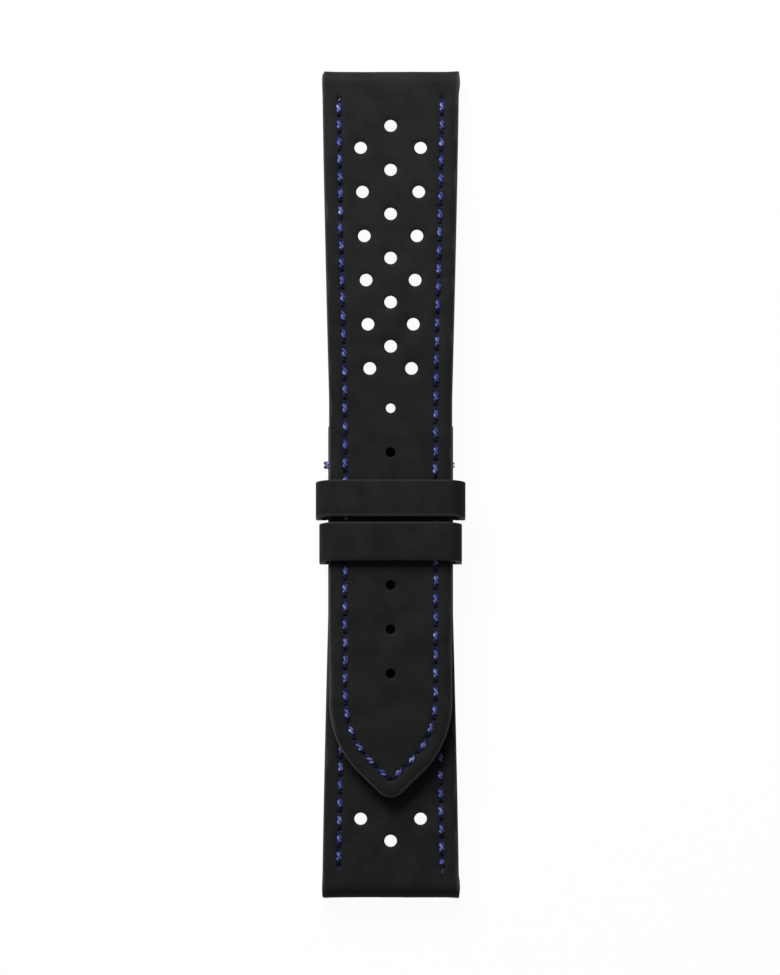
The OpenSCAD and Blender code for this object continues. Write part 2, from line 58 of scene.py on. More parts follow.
SLOT_W, SLOT_S = 3.0, 73.0   # the tongue's slot, and where its round end is centred
KEEPER_TOP = 8.14
FIXED = dict(width=23.7, low=0.59, start=60.5, end=66.2)
FLOATING = dict(width=22.6, low=0.0, start=53.55, end=59.55)
KEEPER_SKIN_T, KEEPER_LINING_T = 0.6, 0.5
TACK_S = 68.6

LONG = dict(name="long", sign=-1, base=4.44, top=6.64, flat_s=48.0, narrow=19.5, taper=52.0, seam=4.2)
SHORT = dict(name="short", sign=1, base=1.69, top=3.89, flat_s=36.55, narrow=19.8, taper=45.0, seam=5.1)


def ease(share):
    return share ** 2 * (3 - 2 * share)


# The shape of the two pieces, seen from above and from the side

def half_width(s, piece):
    return piece["narrow"] / 2 + (LUG_W - piece["narrow"]) / 2 * (
        1 - np.clip(np.asarray(s, float) / piece["taper"], 0, 1) ** 1.25)


def face_height(s, start, flat, flat_s):
    u = np.clip((np.asarray(s, float) - FOLD_R) / (flat_s - FOLD_R), 0, 1)
    return start + (flat - start) * (1.5 * u - 0.5 * u ** 3)


def base_height(s, piece):
    slope = math.atan(1.5 * piece["base"] / (piece["flat_s"] - FOLD_R))
    return face_height(s, FOLD_R - LINE_R / math.cos(slope), piece["base"], piece["flat_s"])


def top_height(s, piece):
    slope = math.atan(1.5 * (piece["top"] - 2 * FOLD_R) / (piece["flat_s"] - FOLD_R))
    return face_height(s, FOLD_R + LINE_R / math.cos(slope), piece["top"], piece["flat_s"])


def back_thickness(s):
    s = np.asarray(s, float)
    flap = SKIN_T + (LINING_T - SKIN_T) * np.clip((s - FOLD_R) / (FLAP_LEN - FOLD_R), 0, 1)
    return np.where(s < FLAP_LEN, flap, LINING_T)


# The long piece's point: a round side, a straight run and a small round end

POINT_S = LONG_LEN - TIP_ROUND_R
ARC_X = LONG["narrow"] / 2 - TIP_SIDE_R
ARC_S = POINT_S + (TIP_ROUND_R - TIP_SIDE_R - ARC_X * math.cos(TIP_TURN)) / math.sin(TIP_TURN)
SEAM_R = TIP_SIDE_R - SEAM_INSET
RUN_X = ARC_X + TIP_SIDE_R * math.cos(TIP_TURN)
RUN_S = ARC_S + TIP_SIDE_R * math.sin(TIP_TURN)
RUN_LEN = (RUN_X - TIP_ROUND_R * math.cos(TIP_TURN)) / math.sin(TIP_TURN)
RUN_FROM = ARC_S + SEAM_R * TIP_TURN
ROUND_FROM = RUN_FROM + RUN_LEN
TIP_END = ROUND_FROM + (math.pi / 2 - TIP_TURN) * TIP_ROUND_R
SEAM_RUN = (ARC_X + SEAM_R * math.cos(TIP_TURN)) / math.sin(TIP_TURN)
LONG_SEAM_END = RUN_FROM + SEAM_RUN - 0.2
SHORT_SEAM_END = FIXED["start"] - 1.6


def tip_place(station, inset):
    """Place on the pattern of the point at a station along the edge and an inset from it."""
    if station <= ARC_S:
        return float(half_width(station, LONG)) - inset, station
    if station <= RUN_FROM:
        turn, r = (station - ARC_S) / SEAM_R, TIP_SIDE_R - inset
        return ARC_X + r * math.cos(turn), ARC_S + r * math.sin(turn)
    if station <= ROUND_FROM:
        run = station - RUN_FROM
        x = RUN_X - run * math.sin(TIP_TURN) - inset * math.cos(TIP_TURN)
        s = RUN_S + run * math.cos(TIP_TURN) - inset * math.sin(TIP_TURN)
    else:
        turn, r = TIP_TURN + (station - ROUND_FROM) / TIP_ROUND_R, TIP_ROUND_R - inset
        x, s = r * math.cos(turn), POINT_S + r * math.sin(turn)
        if r < 0:
            x = -1
    if x <= 0:
        return 0.0, POINT_S + (TIP_ROUND_R - inset) / (1 if inset < TIP_ROUND_R and station > ROUND_FROM
                                                        else math.sin(TIP_TURN))
    return x, s


def edge_reading(x, p, s, piece):
    """Inset from the edge and station along it, for places on the pattern."""
    ax = np.abs(x)
    inset, station = half_width(s, piece) - ax, p.copy()
    if piece is LONG:
        turn = np.arctan2(p - ARC_S, ax - ARC_X)
        arc = (p > ARC_S) & (turn <= TIP_TURN)
        inset = np.where(arc, TIP_SIDE_R - np.hypot(p - ARC_S, ax - ARC_X), inset)
        station = np.where(arc, ARC_S + turn * SEAM_R, station)
        run = -(ax - RUN_X) * math.sin(TIP_TURN) + (p - RUN_S) * math.cos(TIP_TURN)
        away = -(ax - RUN_X) * math.cos(TIP_TURN) - (p - RUN_S) * math.sin(TIP_TURN)
        straight = (p > ARC_S) & (turn > TIP_TURN)
        inset = np.where(straight, away, inset)
        station = np.where(straight, RUN_FROM + run, station)
        end = straight & (run > RUN_LEN)
        inset = np.where(end, TIP_ROUND_R - np.hypot(ax, p - POINT_S), inset)
        station = np.where(
            end, ROUND_FROM + (np.arctan2(p - POINT_S, ax) - TIP_TURN) * TIP_ROUND_R, station)
    return inset, station


# Formers: how a flat sheet lies along the strap, as place, height, facing and thickness

ARC_LEN = math.pi * FOLD_R
FOLD_BOTTOM = FOLD_R - ARC_LEN                   # where the lug fold ends on the pattern
LOOP_END = BAR_S + math.pi * LOOP_R              # where the buckle fold ends on it
FOLD_PARTS = 16


def on_flap(s):
    """Place on the pattern of a point of the flap behind the lug fold."""
    return 2 * FOLD_R - ARC_LEN - s


def skin_former(p, piece):
    """The skin's outer face: flap, lug fold, top and, on the short piece, the buckle fold and its flap."""
    p = np.asarray(p, float)
    s, z = p.copy(), top_height(p, piece)
    ns, nz, thick = np.zeros_like(p), np.ones_like(p), np.full_like(p, SKIN_T)
    fold = (p < FOLD_R) & (p >= FOLD_BOTTOM)
    a = math.pi / 2 + (FOLD_R - p) / FOLD_R
    s = np.where(fold, FOLD_R + FOLD_R * np.cos(a), s)
    slope = 1.5 * (piece["top"] - 2 * FOLD_R) / (piece["flat_s"] - FOLD_R)
    run_in = top_height(FOLD_R, piece) + (s - FOLD_R) * slope
    z = np.where(fold, np.minimum(FOLD_R + FOLD_R * np.sin(a), np.where(a < 1.9, run_in, 99)), z)
    ns, nz = np.where(fold, np.cos(a), ns), np.where(fold, np.sin(a), nz)
    flap = p < FOLD_BOTTOM
    back = on_flap(p)
    s, z = np.where(flap, back, s), np.where(flap, base_height(back, piece), z)
    ns, nz = np.where(flap, 0, ns), np.where(flap, -1, nz)
    thick = np.where(flap, back_thickness(back), thick)
    if piece is SHORT:
        turned = (p > BAR_S) & (p <= LOOP_END)
        a = math.pi / 2 - (p - BAR_S) / LOOP_R
        s = np.where(turned, BAR_S + LOOP_R * np.cos(a), s)
        z = np.where(turned, BAR_Z + LOOP_R * np.sin(a), z)
        ns, nz = np.where(turned, np.cos(a), ns), np.where(turned, np.sin(a), nz)
        under = p > LOOP_END
        back = 2 * BAR_S + math.pi * LOOP_R - p
        low = LIFT * ease(np.clip((BAR_S - back) / LIFT_RUN, 0, 1))
        skive = np.clip((SKIVE_S - back) / SKIVE_RUN, 0, 1)
        s, z = np.where(under, back, s), np.where(under, low, z)
        ns, nz = np.where(under, 0, ns), np.where(under, -1, nz)
        thick = np.where(under, (SKIN_T - low) * (1 - skive) + SKIVED_T * skive, thick)
    return s, z, ns, nz, thick


def lining_former(p, piece):
    p = np.asarray(p, float)
    return p, base_height(p, piece), np.zeros_like(p), -np.ones_like(p), np.full_like(p, LINING_T)


def tape_former(p, piece):
    p = np.asarray(p, float)
    z = base_height(p, piece) + back_thickness(p) + TAPE_T
    return p, z, np.zeros_like(p), np.ones_like(p), np.full_like(p, TAPE_T)


def back_former(p, piece):
    """The back's outer face, for the stitches on it."""
    p = np.asarray(p, float)
    return p, base_height(p, piece), np.zeros_like(p), -np.ones_like(p), np.ones_like(p)


# Bench work: selecting and shaping

def put_down():
    if bpy.context.mode != "OBJECT":
        bpy.ops.object.mode_set(mode="OBJECT")
    bpy.ops.object.select_all(action="DESELECT")


def take(piece):
    put_down()
    piece.select_set(True)
    bpy.context.view_layer.objects.active = piece


def open_up(piece, kind="VERT"):
    take(piece)
    bpy.ops.object.mode_set(mode="EDIT")
    bpy.ops.mesh.select_mode(type=kind)
    bpy.ops.mesh.select_all(action="DESELECT")


def pick(piece, kind, wanted):
    """In edit mode, selects the faces, edges or vertices that wanted() says yes to."""
    shape = bmesh.from_edit_mesh(piece.data)
    found = {"FACE": shape.faces, "EDGE": shape.edges, "VERT": shape.verts}[kind]
    bpy.ops.mesh.select_mode(type=kind)
    bpy.ops.mesh.select_all(action="DESELECT")
    for part in found:
        if wanted(part):
            part.select_set(True)
    bmesh.update_edit_mesh(piece.data)


def close_up():
    bpy.ops.object.mode_set(mode="OBJECT")


def use(piece, kind, **settings):
    """Adds a modifier and applies it."""
    take(piece)
    modifier = piece.modifiers.new(kind.lower(), kind)
    for key, value in settings.items():
        setattr(modifier, key, value)
    bpy.ops.object.modifier_apply(modifier=modifier.name)


def corners(piece):
    co = np.empty(len(piece.data.vertices) * 3)
    piece.data.vertices.foreach_get("co", co)
    return co.reshape(-1, 3)


def set_corners(piece, co):
    piece.data.vertices.foreach_set("co", np.ascontiguousarray(co, dtype=float).ravel())
    piece.data.update()


def face_outwards(piece):
    open_up(piece)
    bpy.ops.mesh.select_all(action="SELECT")
    bpy.ops.mesh.normals_make_consistent(inside=False)
    close_up()


def smooth(piece, degrees=42):
    take(piece)
    bpy.ops.object.shade_smooth_by_angle(angle=math.radians(degrees))


def copy_of(piece, name):
    twin = piece.copy()
    twin.data = piece.data.copy()
    twin.name = name
    bpy.context.scene.collection.objects.link(twin)
    return twin


def gather(parts, name):
    """Joins parts into one piece."""
    put_down()
    for part in parts:
        part.select_set(True)
    bpy.context.view_layer.objects.active = parts[0]
    bpy.ops.object.join()
    parts[0].name = parts[0].data.name = name
    return parts[0]


def mark(piece, name, values):
    """Keeps a number for each vertex, which a finish can read."""
    found = piece.data.attributes.get(name) or piece.data.attributes.new(name, "FLOAT", "POINT")
    found.data.foreach_set("value", np.asarray(values, np.float32))


# Cutting a sheet to its pattern

EDGE_INSETS = [0, 0.16, 0.36, 0.7, 1.1, 1.55, 1.95, 2.2, 2.4, 2.6, 2.8, 3.0, 3.25, 3.7]
EVEN_PARTS = [i / 20 * 2 - 1 for i in range(1, 20)]
STITCH_ROWS = 12             # rows of faces along one stitch


def seam_rows(piece, end):
    start = piece["seam"]
    count = round((end - start) / STITCH) * STITCH_ROWS
    return [start + (end - start) * k / count for k in range(count + 1)]


def stitch_places(piece, end, side):
    """Stations of the needle holes along one seam, with the drift of a seam that is guided by hand."""
    start = piece["seam"]
    count = round((end - start) / STITCH) - (1 if piece is LONG and side > 0 else 0)
    even = [start + (end - start) * k / count for k in range(count + 1)]
    if piece is SHORT:
        return even if side < 0 else [start - 0.35] + [s - 1.35 for s in even[1:]] + [end]
    if side > 0:
        return [s - 0.6 * math.sin(math.pi * (s - start) / (end - start)) for s in even]
    return [s + 0.3 * math.exp((start - s) / 8) - 0.75 * math.exp(-((s - 36) / 17) ** 2) for s in even]


def cut_sheet(name, piece, rows, former, insets=EDGE_INSETS, parts=EVEN_PARTS):
    """A flat sheet with its columns along the edges and its rows across, drawn to the piece's outline."""
    columns, count = 2 * len(insets) + len(parts) - 1, len(rows) - 1
    put_down()
    bpy.ops.mesh.primitive_grid_add(x_subdivisions=columns, y_subdivisions=count, size=2)
    sheet = bpy.context.active_object
    sheet.name = sheet.data.name = name
    places = np.zeros((len(rows), columns + 1, 2))
    for j, station in enumerate(rows):
        s = float(former([station], piece)[0][0])
        edge = [tip_place(station, d) if piece is LONG and s > ARC_S - 1
                else (float(half_width(s, piece)) - d, station) for d in insets]
        inside = [(part * edge[-1][0], edge[-1][1]) for part in parts]
        places[j] = [(-x, p) for x, p in edge] + inside + [(x, p) for x, p in reversed(edge)]
    co = corners(sheet)
    column = np.rint((co[:, 0] + 1) / 2 * columns).astype(int)
    row = np.rint((co[:, 1] + 1) / 2 * count).astype(int)
    co[:, :2] = places[row, column]
    co[:, 2] = 0
    set_corners(sheet, co)
    open_up(sheet)
    bpy.ops.mesh.select_all(action="SELECT")
    bpy.ops.mesh.remove_doubles(threshold=0.004)
    bpy.ops.mesh.dissolve_degenerate(threshold=0.001)
    close_up()
    return sheet


HOLE_SIDES, SLOT_CUTS = 32, 20


def eyelet(radii, stretch):
    """Rings of faces round a punched hole, drawn out lengthways for a slot."""
    put_down()
    bpy.ops.mesh.primitive_circle_add(vertices=HOLE_SIDES, radius=radii[-1], fill_type="NOTHING")
    ring = bpy.context.active_object
    open_up(ring)
    bpy.ops.mesh.select_all(action="SELECT")
    for wide, narrow in zip(radii[:0:-1], radii[-2::-1]):
        bpy.ops.mesh.extrude_edges_move()
        bpy.ops.transform.resize(value=(narrow / wide, narrow / wide, 1), center_override=(0, 0, 0))
    close_up()
    co = corners(ring)
    co[:, 1] += np.sign(np.round(co[:, 1] - 1e-4, 6)) * stretch / 2
    set_corners(ring, co)
    if stretch:
        open_up(ring)
        for cut in range(1, SLOT_CUTS):
            bpy.ops.mesh.select_all(action="SELECT")
            bpy.ops.mesh.bisect(plane_co=(0, stretch * (cut / SLOT_CUTS - 0.5), 0), plane_no=(0, 1, 0))
        close_up()
    return ring


HOLE_MARGIN, BORDER_REACH = 0.08, 0.9


def punch(sheet, holes):
    """Cuts holes into a flat sheet and edges each with its rings. A hole is x, p, radii and stretch."""
    co = corners(sheet)
    near = np.zeros(len(co), bool)

    def away(x, p, hole):
        beyond = np.maximum(np.abs(p - hole[1]) - hole[3] / 2, 0)
        return np.hypot(x - hole[0], beyond)

    ends = (co[:, 1].min() + 0.01, co[:, 1].max() - 0.01)
    for hole in holes:
        near |= away(co[:, 0], co[:, 1], hole) < hole[2][-1] + HOLE_MARGIN
    open_up(sheet, "FACE")
    pick(sheet, "FACE", lambda face: any(near[v.index] for v in face.verts))
    bpy.ops.mesh.delete(type="FACE")
    close_up()
    rings = []
    for hole in holes:
        ring = eyelet(hole[2], hole[3])
        set_corners(ring, corners(ring) + np.array([hole[0], hole[1], 0]))
        rings.append(ring)
    gather([sheet] + rings, sheet.name)
    for hole in holes:
        open_up(sheet, "EDGE")

        def border(edge):
            along = [v.co.y for v in edge.verts]
            if not edge.is_boundary or max(along) < ends[0] or min(along) > ends[1]:
                return False
            middle = (edge.verts[0].co + edge.verts[1].co) / 2
            gap = float(away(middle.x, middle.y, hole))
            return hole[2][-1] - 0.06 < gap < hole[2][-1] + BORDER_REACH

        pick(sheet, "EDGE", border)
        bpy.ops.mesh.fill(use_beauty=True)
        close_up()
    open_up(sheet)
    bpy.ops.mesh.select_all(action="SELECT")
    bpy.ops.mesh.normals_make_consistent(inside=False)
    close_up()
    if sum(face.normal.z for face in sheet.data.polygons) < 0:
        open_up(sheet)
        bpy.ops.mesh.select_all(action="SELECT")
        bpy.ops.mesh.flip_normals()
        close_up()


FLARE_LEN, PEAK_LEN = 3.6, 1.6
NIP_LEN, NIP_FROM, NIP_WIDE = 1.2, 0.967, 0.033


def lay_sheet(sheet, piece, former, relief, rim=0.08, ears=0.0, nipped=0.0, scuffs=0.0):
    """Gives a flat sheet its thickness and broken edges, and lays it along its former.

    At a lug end, ears is how far the corners flare and peak, and nipped how much wear has taken off the left
    one's corner.
    """
    use(sheet, "SOLIDIFY", thickness=1.0, offset=-1, use_rim=True)
    open_up(sheet, "EDGE")

    def outer_rim(edge):
        if len(edge.link_faces) != 2 or min(v.co.z for v in edge.verts) < -0.01:
            return False
        facing = [abs(f.normal.z) for f in edge.link_faces]
        return min(facing) < 0.5 < max(facing)

    pick(sheet, "EDGE", outer_rim)
    bpy.ops.mesh.bevel(offset=rim, segments=2, profile=0.5, affect="EDGES", clamp_overlap=True)
    close_up()
    co = corners(sheet)
    x, p, depth = co[:, 0], co[:, 1], co[:, 2]
    s, z, ns, nz, thick = former(p, piece)
    inset, station = edge_reading(x, p, s, piece)
    h = relief(x, p, s, inset, station) * (1 + depth) + depth * thick
    outer = np.clip(np.abs(x) / half_width(s, piece), 0, 1)
    bulge = np.sin(math.pi * np.clip(s / FLARE_LEN, 0, 1)) * outer ** 6
    flare = ears * bulge * np.where(x < 0, 0.25, 0.95)
    peak = ears * np.clip(1 - s / PEAK_LEN, 0, 1) * outer ** 14
    corner = np.clip((outer - NIP_FROM) / NIP_WIDE, 0, 1) * np.clip(1 - s / NIP_LEN, 0, 1)
    corner = nipped * corner * (x < 0)
    placed = np.empty_like(co)
    placed[:, 0] = x + np.sign(x) * flare
    placed[:, 1] = piece["sign"] * (s + ns * h - peak + corner - TOTAL_LEN / 2)
    placed[:, 2] = np.maximum(z + nz * h, 0.002)
    set_corners(sheet, placed / 1000)
    face_outwards(sheet)
    patchy = np.clip(faint(x, p, 5, 2.2) * 4 - 0.3, 0, 1) * np.exp(-((inset - 0.36) / 0.14) ** 2)
    # Painted highlight: a lighter line along the broken edges stands in for light catching their rounding;
    # the scuffs, in patches a little inside the edge, are real wear.
    painted_highlight_and_wear = np.clip(1.2 - inset / 0.2, 0, 1) * 0.7 + scuffs * patchy
    mark(sheet, "edge_wear_and_painted_highlight", painted_highlight_and_wear * np.clip(1 + depth * 4, 0, 1))
    mark(sheet, "cut", np.clip(-depth * 4, 0, 1))
    smooth(sheet)
    return sheet


# The pattern's holes

PERF_ROWS, PERF_PITCH, PERF_START = 6, 7.0, 8.6
SHORT_PERF_START = 9.0
WIDE_GAP, NARROW_GAP = 9.5, 6.6                  # between the two holes of the first row and of the last
TONGUE_HOLES, TONGUE_PITCH, TONGUE_FROM_TIP = 7, 7.0, 19.6
PERF_RINGS = [PERF_R, 1.14, 1.32, 1.5]
TONGUE_RINGS = [TONGUE_R, 0.86, 0.99, 1.12]
FLAP_RINGS = [PERF_R, 1.08, 1.18]
SLOT_RINGS = [SLOT_W / 2, 1.62, 1.78, 1.95]


def row_half_gap(row):
    return (WIDE_GAP + (NARROW_GAP - WIDE_GAP) * row / (PERF_ROWS - 1)) / 2


def hole_places(piece):
    """Places of a piece's holes, each with 1 for a perforation or 0 for a tongue hole."""
    start, rows = (SHORT_PERF_START, 1) if piece is SHORT else (PERF_START, PERF_ROWS)
    found = []
    for row in range(rows):
        s = start + row * PERF_PITCH
        found += [(0, s, 1)] + [(side * row_half_gap(row), s + PERF_PITCH / 2, 1) for side in (-1, 1)]
    if piece is LONG:
        found += [(0, LONG_LEN - TONGUE_FROM_TIP - TONGUE_PITCH * i, 0) for i in range(TONGUE_HOLES)]
    return found


def holes_of(piece, start, flap=False, gain=0.0):
    """Holes to punch in the skin, which has the flap, or in a layer below it."""
    rings = {1: PERF_RINGS, 0: TONGUE_RINGS}
    if not flap:
        rings = {1: [PERF_R + gain, 1.12 + gain, 1.24 + gain],
                 0: [TONGUE_R + gain, 0.86 + gain, 0.98 + gain]}
    found = [(x, s, rings[big], 0) for x, s, big in hole_places(piece) if s > start + 1.6]
    if flap:
        first = hole_places(piece)[0]
        found.append((0, on_flap(first[1]), FLAP_RINGS, 0))
        if piece is SHORT:
            reach = 2 * (BAR_S - SLOT_S) + math.pi * LOOP_R
            found.append((0, BAR_S + math.pi * LOOP_R / 2, SLOT_RINGS, reach))
    return found


# Relief of the faces: turned edges, the stitch line's groove, needle holes and dished perforations

GROOVE_R, PIT_R, PUFF = 0.5, 0.27, 0.05
GROOVE_FADE = 0.8            # over which the groove begins and ends
DISH_R = 0.55


def faint(x, p, size, seed):
    return np.array([noise.noise(Vector((a / size, b / size, seed))) for a, b in zip(x, p)])


def seam_relief(x, inset, station, piece, end, groove, pit):
    start, along = piece["seam"], np.zeros_like(station)
    for side in (-1, 1):
        places = np.array(stitch_places(piece, end, side))
        nearest = places[np.abs(station[:, None] - places).argmin(1)]
        along = np.where(x * side >= 0, station - nearest, along)
    across = inset - SEAM_INSET
    on = np.clip((station - start) / GROOVE_FADE + 1, 0, 1)
    on = on * np.clip((end - station) / GROOVE_FADE + 1, 0, 1)
    sag = groove * np.exp(-(across / GROOVE_R) ** 2) * on
    hole = pit * np.exp(-(across ** 2 + along ** 2) / PIT_R ** 2)
    between = np.sin(np.pi * np.clip(along / STITCH, -0.5, 0.5)) ** 2
    puff = PUFF * np.exp(-((inset - SEAM_INSET / 2) / 0.6) ** 2) * on * (0.4 + 0.6 * between)
    return puff - sag - hole


def dished(x, s, piece, depth):
    sunk = np.zeros_like(x)
    for hx, hs, big in hole_places(piece):
        gap = np.hypot(x - hx, s - hs) - (PERF_R if big else TONGUE_R)
        sunk = np.maximum(sunk, depth * (1 if big else 0.6) * np.exp(-np.clip(gap, 0, None) / DISH_R))
    return sunk


def skin_relief(piece, end):
    def relief(x, p, s, inset, station):
        past_fold = ease(np.clip((s - FOLD_R) / 2.6, 0, 1))
        turned = 0.30 * np.clip(1 - inset / 1.0, 0, 1) ** 2.2 * (0.25 + 0.75 * past_fold)
        flap = p < FOLD_BOTTOM
        along = np.where(flap, s, station)
        seam = seam_relief(x, inset, along, piece, end, 0.12, 0.36)
        faces = (p > FOLD_R) | flap
        wave = 0.05 * faint(x, p, 9, 3.1) + 0.02 * faint(x, p, 2.5, 8.4)
        crown = 0.035 * (1 - np.clip(np.abs(x) / half_width(s, piece), 0, 1) ** 2) * (p > FOLD_R)
        gone = (p > BAR_S) if piece is SHORT else np.zeros_like(faces)
        shaped = np.where(faces & ~gone, seam - dished(x, s, piece, 0.2) + crown, 0)
        return shaped - turned + wave * np.where(gone, 0.3, 1)
    return relief


def lining_relief(piece, end):
    def relief(x, p, s, inset, station):
        turned = 0.16 * np.clip(1 - inset / 0.8, 0, 1) ** 2
        seam = seam_relief(x, inset, station, piece, end, 0.08, 0.25)
        return seam - dished(x, s, piece, 0.1) - turned + 0.02 * faint(x, p, 5, 5.5)
    return relief


def no_relief(x, p, s, inset, station):
    return np.zeros_like(x)


FOLD_ROWS = [FOLD_R - ARC_LEN * (1 - i / FOLD_PARTS) for i in range(FOLD_PARTS + 1)]


def parted(start, end, count):
    """Places that part a length evenly, without its start."""
    return [start + (end - start) * i / count for i in range(1, count + 1)]


def tip_rows():
    return [ROUND_FROM] + parted(ROUND_FROM, TIP_END, 6)


def make_long_skin():
    seam = seam_rows(LONG, LONG_SEAM_END)
    back = [s for s in seam if s < FLAP_LEN - 0.1]
    flap = [on_flap(s) for s in [FLAP_LEN] + back[::-1] + [3.6, 3.0, 2.5]]
    rows = flap + FOLD_ROWS + [2.5, 3.0, 3.5, 3.85] + seam + tip_rows()
    sheet = cut_sheet("long_skin", LONG, rows, skin_former)
    punch(sheet, holes_of(LONG, 2, flap=True))
    relief = skin_relief(LONG, LONG_SEAM_END)
    return lay_sheet(sheet, LONG, skin_former, relief, ears=0.18, nipped=0.6, scuffs=0.2)


def make_short_skin():
    seam = seam_rows(SHORT, SHORT_SEAM_END)
    back = [s for s in seam if s < FLAP_LEN - 0.2]
    flap = [on_flap(s) for s in [FLAP_LEN, FLAP_LEN - 0.12] + back[::-1] + [4.6, 4.1, 3.6, 3.0, 2.5]]
    plain = parted(SHORT_SEAM_END, BAR_S, 26)
    loop = [BAR_S + math.pi * LOOP_R * i / FOLD_PARTS for i in range(1, FOLD_PARTS + 1)]
    under = [LOOP_END + (BAR_S - FLAP_END_S) * i / 20 for i in range(1, 21)]
    rows = flap + FOLD_ROWS + [2.5, 3.0, 3.5, 3.85, 4.2, 4.6, 4.9] + seam + plain + loop + under
    sheet = cut_sheet("short_skin", SHORT, rows, skin_former)
    punch(sheet, holes_of(SHORT, 2, flap=True))
    relief = skin_relief(SHORT, SHORT_SEAM_END)
    return lay_sheet(sheet, SHORT, skin_former, relief, ears=0.18, nipped=0.2, scuffs=0.2)


NOTCH_START = 66.0


def notch(sheet):
    """Draws the end of a sheet back round the tongue's slot."""
    co = corners(sheet)
    x, p = np.abs(co[:, 0]), co[:, 1]
    stop = np.minimum(BACK_END_S, SLOT_S - np.sqrt(np.clip((SLOT_W / 2) ** 2 - x ** 2, 0, None)))
    drawn = NOTCH_START + (p - NOTCH_START) * (stop - NOTCH_START) / (BACK_END_S - NOTCH_START)
    co[:, 1] = np.where(p > NOTCH_START, drawn, p)
    set_corners(sheet, co)


# Columns of the short piece's back, closer where the slot's sides are
SLOT_PARTS = [0.08, 0.16, 0.22, 0.2395, 0.2445, 0.3, 0.38, 0.46, 0.54, 0.62, 0.7, 0.78, 0.86, 0.93]
SHORT_PARTS = [-part for part in SLOT_PARTS[::-1]] + [0] + SLOT_PARTS


def make_long_lining():
    rows = [FLAP_LEN] + [s for s in seam_rows(LONG, LONG_SEAM_END) if s > FLAP_LEN + 0.05]
    sheet = cut_sheet("long_lining_sheet", LONG, rows + tip_rows(), lining_former)
    punch(sheet, holes_of(LONG, FLAP_LEN - 1.6))
    return lay_sheet(sheet, LONG, lining_former, lining_relief(LONG, LONG_SEAM_END), rim=0.06)


def make_short_lining():
    rows = [FLAP_LEN] + [s for s in seam_rows(SHORT, SHORT_SEAM_END) if s > FLAP_LEN + 0.05]
    rows += parted(SHORT_SEAM_END, BACK_END_S, 24)
    sheet = cut_sheet("short_lining_sheet", SHORT, rows, lining_former, parts=SHORT_PARTS)
    notch(sheet)
    punch(sheet, holes_of(SHORT, FLAP_LEN - 1.6))
    return lay_sheet(sheet, SHORT, lining_former, lining_relief(SHORT, SHORT_SEAM_END), rim=0.06)


def make_tape(piece):
    start = FOLD_R + 1.3
    insets = [0.06, 0.5, 1.1, 1.8, 2.5, 3.1, 3.7]
    rows = [start] + parted(start, ARC_S if piece is LONG else BACK_END_S, 150)
    if piece is LONG:
        rows += parted(ARC_S, ROUND_FROM, 20) + tip_rows()[1:]
    parts = SHORT_PARTS if piece is SHORT else EVEN_PARTS
    sheet = cut_sheet(piece["name"] + "_tape", piece, rows, tape_former, insets, parts)
    if piece is SHORT:
        notch(sheet)
    punch(sheet, holes_of(piece, start, gain=0.04))
    return lay_sheet(sheet, piece, tape_former, no_relief, rim=0.05)


# Thread

PLY_R, PLY_OFF = 0.245, 0.2


def twisted_thread(length, turns, steps, ply_r=PLY_R, ply_off=PLY_OFF, sides=6):
    """A straight length of two-ply thread along X, from -length/2 to length/2."""
    put_down()
    plies = []
    for side in (1, -1):
        bpy.ops.mesh.primitive_circle_add(
            vertices=sides, radius=ply_r, fill_type="NOTHING", location=(side * ply_off, 0, 0))
        bpy.ops.object.transform_apply(location=True, rotation=False, scale=False)
        plies.append(bpy.context.active_object)
    thread = gather(plies, "thread")
    use(thread, "SCREW", axis="Z", angle=turns * 2 * math.pi, screw_offset=length, steps=steps,
        render_steps=steps, use_smooth_shade=True, use_merge_vertices=False)
    co = corners(thread)
    turn = co[:, 2] / length * turns * 2 * math.pi
    flat = np.stack([co[:, 0] * np.cos(turn) + co[:, 1] * np.sin(turn),
                     co[:, 1] * np.cos(turn) - co[:, 0] * np.sin(turn)], 1)
    around = np.arctan2(flat[:, 1], np.abs(flat[:, 0]) - ply_off) * np.sign(flat[:, 0])
    mark(thread, "fibre_x", np.cos(around) + 3 * np.sign(flat[:, 0]))
    mark(thread, "fibre_y", np.sin(around))
    mark(thread, "fibre_z", co[:, 2])
    mark(thread, "frayed", np.zeros(len(co)))
    # Painted shade, set later for each stitch and thread end: 1 darkens the thread to navy.
    mark(thread, "sunk", np.zeros(len(co)))
    set_corners(thread, np.stack([co[:, 2] - length / 2, co[:, 0], co[:, 1]], 1))
    open_up(thread, "EDGE")
    pick(thread, "EDGE", lambda edge: edge.is_boundary)
    bpy.ops.mesh.edge_face_add()
    close_up()
    return thread


def seam_holes(piece, end, side):
    """Needle holes along a seam, as x from the middle and s."""
    found = []
    for station in stitch_places(piece, end, side):
        if piece is LONG:
            found.append(tip_place(station, SEAM_INSET))
        else:
            found.append((float(half_width(station, piece)) - SEAM_INSET, station))
    return found


